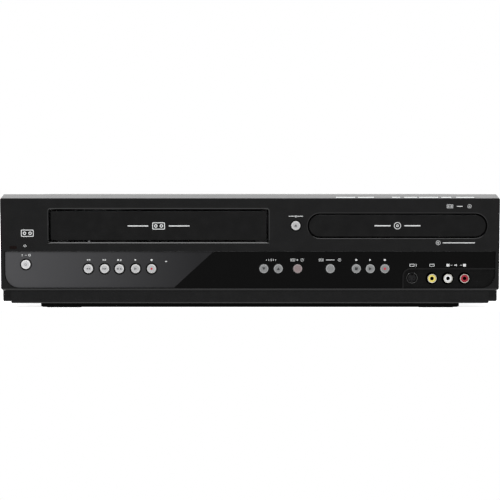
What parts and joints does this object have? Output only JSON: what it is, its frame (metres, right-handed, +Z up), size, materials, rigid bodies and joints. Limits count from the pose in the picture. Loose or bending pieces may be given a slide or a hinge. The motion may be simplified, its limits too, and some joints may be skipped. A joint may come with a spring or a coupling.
{
  "type": "dvd and cassette recorder",
  "caption": "Low black cabinet combining a tape deck behind a flap door with a sliding disc drawer, a glossy key strip, front and rear sockets and the mechanisms inside.",
  "frame": {"origin": "on the supporting surface, at the middle of the overall box", "axes": "+X to the right seen from the front, +Y to the back, +Z up; the front faces -Y"},
  "size_m": [0.435, 0.2656, 0.0995],
  "materials": {
    "cabinet_plastic": "satin black moulding",
    "strip_gloss": "polished black",
    "lamp_lens": "dark tinted lens",
    "cover_paint": "fine textured black paint",
    "zinc_sheet": "plain zinc-plated sheet",
    "foot_plastic": "matt black",
    "foot_rubber": "soft pad",
    "screw_black": "black oxide",
    "connector_black": "moulded socket",
    "nickel": "nickel plating",
    "insulator_yellow": "yellow insulator",
    "insulator_white": "white insulator",
    "insulator_red": "red insulator",
    "board_laminate": "green board",
    "power_laminate": "brown board",
    "display_glass": "dark display tube",
    "fan_plastic": "fan moulding",
    "drum_metal": "turned and polished",
    "shaft_steel": "ground steel",
    "mech_plastic": "grey mechanism plastic",
    "mech_black": "black mechanism plastic",
    "mech_white": "natural acetal",
    "roller_rubber": "pinch rubber",
    "key_plastic": "pale key cap"
  },
  "bodies": {
    "cabinet": {"front_panel": "cabinet_plastic", "control_strip": "strip_gloss", "indicator_lenses": "lamp_lens", "top_cover": "cover_paint", "bottom_chassis": "zinc_sheet", "rear_panel": "zinc_sheet", "front_foot_bar": "foot_plastic", "rear_feet": "foot_plastic", "foot_pads": "foot_rubber", "case_screws": "screw_black", "s_video_jack": "connector_black", "phono_sleeves": "nickel", "phono_insert_video": "insulator_yellow", "phono_insert_left": "insulator_white", "phono_insert_right": "insulator_red", "front_board": "board_laminate", "display_module": "display_glass", "rear_av_jacks": "connector_black", "antenna_jacks": "nickel", "digital_socket": "nickel", "cord_gland": "foot_plastic", "fan_frame": "fan_plastic", "main_board": "board_laminate", "power_board": "power_laminate", "deck_plate": "zinc_sheet", "lower_drum": "drum_metal", "carriage_frame": "zinc_sheet", "loader_frame": "mech_black", "clamp_bridge": "zinc_sheet"},
    "fan": {"fan_rotor": "fan_plastic"},
    "door": {"cassette_door": "cabinet_plastic"},
    "drum": {"upper_drum": "drum_metal"},
    "sled": {"carriage_sled": "mech_plastic"},
    "holder": {"cassette_holder": "zinc_sheet"},
    "supply": {"supply_reel": "mech_black"},
    "takeup": {"takeup_reel": "mech_black"},
    "capstan_shaft": {"capstan": "shaft_steel"},
    "pinch_lever": {"pinch_arm": "shaft_steel"},
    "pinch_wheel": {"pinch_roller": "roller_rubber"},
    "drawer": {"disc_tray": "mech_black", "tray_front": "cabinet_plastic"},
    "clamp": {"disc_clamp": "mech_white"},
    "traverse_plate": {"traverse": "mech_plastic"},
    "platter": {"turntable": "mech_white"},
    "pickup_sled": {"pickup": "mech_plastic"},
    "drawer_pinion": {"tray_pinion": "mech_white"},
    "standby_button_key": {"standby_button": "key_plastic"},
    "rewind_button_key": {"rewind_button": "key_plastic"},
    "forward_button_key": {"forward_button": "key_plastic"},
    "stop_eject_button_key": {"stop_eject_button": "key_plastic"},
    "tape_play_button_key": {"tape_play_button": "key_plastic"},
    "tape_record_button_key": {"tape_record_button": "key_plastic"},
    "open_close_button_key": {"open_close_button": "key_plastic"},
    "tracking_down_button_key": {"tracking_down_button": "key_plastic"},
    "tracking_up_button_key": {"tracking_up_button": "key_plastic"},
    "dubbing_button_key": {"dubbing_button": "key_plastic"},
    "source_button_key": {"source_button": "key_plastic"},
    "disc_stop_button_key": {"disc_stop_button": "key_plastic"},
    "disc_play_button_key": {"disc_play_button": "key_plastic"},
    "disc_record_button_key": {"disc_record_button": "key_plastic"}
  },
  "joints": [
    {"name": "fan_spin", "type": "hinge", "parent": "cabinet", "child": "fan", "pos_m": [-0.1555, 0.1158, 0.0395], "axis": [0, 1, 0], "continuous": true},
    {"name": "door_swing", "type": "hinge", "parent": "cabinet", "child": "door", "pos_m": [-0.0797, -0.1272, 0.0872], "axis": [1, 0, 0], "range_deg": [0, 85], "stiffness_Nm_per_rad": 0.004, "springref_deg": -34.38},
    {"name": "drum_spin", "type": "hinge", "parent": "cabinet", "child": "drum", "pos_m": [-0.0877, 0.0538, 0.046], "axis": [0, 0, 1], "continuous": true},
    {"name": "sled_in", "type": "slide", "parent": "cabinet", "child": "sled", "axis": [0, 1, 0], "range_m": [0, 0.046]},
    {"name": "holder_lower", "type": "slide", "parent": "sled", "child": "holder", "axis": [0, 0, -1], "range_m": [0, 0.022]},
    {"name": "supply_spin", "type": "hinge", "parent": "cabinet", "child": "supply", "pos_m": [-0.1257, -0.0422, 0.03], "axis": [0, 0, 1], "continuous": true},
    {"name": "takeup_spin", "type": "hinge", "parent": "cabinet", "child": "takeup", "pos_m": [-0.0337, -0.0422, 0.03], "axis": [0, 0, 1], "continuous": true},
    {"name": "capstan_spin", "type": "hinge", "parent": "cabinet", "child": "capstan_shaft", "pos_m": [-0.0377, 0.0308, 0.03], "axis": [0, 0, 1], "continuous": true},
    {"name": "pinch_swing", "type": "hinge", "parent": "cabinet", "child": "pinch_lever", "pos_m": [-0.0282, 0.0539, 0.033], "axis": [0, 0, -1], "range_deg": [0, 11.4], "stiffness_Nm_per_rad": 0.02, "springref_deg": -5.73},
    {"name": "pinch_spin", "type": "hinge", "parent": "pinch_lever", "child": "pinch_wheel", "pos_m": [-0.0255, 0.0319, 0.042], "axis": [0, 0, 1], "continuous": true},
    {"name": "drawer_out", "type": "slide", "parent": "cabinet", "child": "drawer", "axis": [0, -1, 0], "range_m": [0, 0.136]},
    {"name": "pinion_spin", "type": "hinge", "parent": "cabinet", "child": "drawer_pinion", "pos_m": [0.17345, -0.1042, 0.055], "axis": [0, 0, 1], "range_deg": [-790, 10]},
    {"name": "clamp_spin", "type": "hinge", "parent": "cabinet", "child": "clamp", "pos_m": [0.12845, -0.0602, 0.078], "axis": [0, 0, 1], "continuous": true},
    {"name": "traverse_lift", "type": "hinge", "parent": "cabinet", "child": "traverse_plate", "pos_m": [0.12845, 0.0448, 0.0491], "axis": [-1, 0, 0], "range_deg": [0, 4.6]},
    {"name": "platter_spin", "type": "hinge", "parent": "traverse_plate", "child": "platter", "pos_m": [0.12845, -0.0602, 0.06], "axis": [0, 0, 1], "continuous": true},
    {"name": "pickup_travel", "type": "slide", "parent": "traverse_plate", "child": "pickup_sled", "axis": [0, 1, 0], "range_m": [0, 0.03]},
    {"name": "standby_press", "type": "slide", "parent": "cabinet", "child": "standby_button_key", "axis": [0, 1, 0], "range_m": [0, 0.0008], "stiffness_N_per_m": 400},
    {"name": "rewind_press", "type": "slide", "parent": "cabinet", "child": "rewind_button_key", "axis": [0, 1, 0], "range_m": [0, 0.0008], "stiffness_N_per_m": 400},
    {"name": "forward_press", "type": "slide", "parent": "cabinet", "child": "forward_button_key", "axis": [0, 1, 0], "range_m": [0, 0.0008], "stiffness_N_per_m": 400},
    {"name": "stop_eject_press", "type": "slide", "parent": "cabinet", "child": "stop_eject_button_key", "axis": [0, 1, 0], "range_m": [0, 0.0008], "stiffness_N_per_m": 400},
    {"name": "tape_play_press", "type": "slide", "parent": "cabinet", "child": "tape_play_button_key", "axis": [0, 1, 0], "range_m": [0, 0.0008], "stiffness_N_per_m": 400},
    {"name": "tape_record_press", "type": "slide", "parent": "cabinet", "child": "tape_record_button_key", "axis": [0, 1, 0], "range_m": [0, 0.0008], "stiffness_N_per_m": 400},
    {"name": "open_close_press", "type": "slide", "parent": "cabinet", "child": "open_close_button_key", "axis": [0, 1, 0], "range_m": [0, 0.0008], "stiffness_N_per_m": 400},
    {"name": "tracking_down_press", "type": "slide", "parent": "cabinet", "child": "tracking_down_button_key", "axis": [0, 1, 0], "range_m": [0, 0.0008], "stiffness_N_per_m": 400},
    {"name": "tracking_up_press", "type": "slide", "parent": "cabinet", "child": "tracking_up_button_key", "axis": [0, 1, 0], "range_m": [0, 0.0008], "stiffness_N_per_m": 400},
    {"name": "dubbing_press", "type": "slide", "parent": "cabinet", "child": "dubbing_button_key", "axis": [0, 1, 0], "range_m": [0, 0.0008], "stiffness_N_per_m": 400},
    {"name": "source_press", "type": "slide", "parent": "cabinet", "child": "source_button_key", "axis": [0, 1, 0], "range_m": [0, 0.0008], "stiffness_N_per_m": 400},
    {"name": "disc_stop_press", "type": "slide", "parent": "cabinet", "child": "disc_stop_button_key", "axis": [0, 1, 0], "range_m": [0, 0.0008], "stiffness_N_per_m": 400},
    {"name": "disc_play_press", "type": "slide", "parent": "cabinet", "child": "disc_play_button_key", "axis": [0, 1, 0], "range_m": [0, 0.0008], "stiffness_N_per_m": 400},
    {"name": "disc_record_press", "type": "slide", "parent": "cabinet", "child": "disc_record_button_key", "axis": [0, 1, 0], "range_m": [0, 0.0008], "stiffness_N_per_m": 400}
  ],
  "couplings": [
    {"joint": "pinion_spin", "follows": "drawer_out", "rad_per_m": -100}
  ]
}
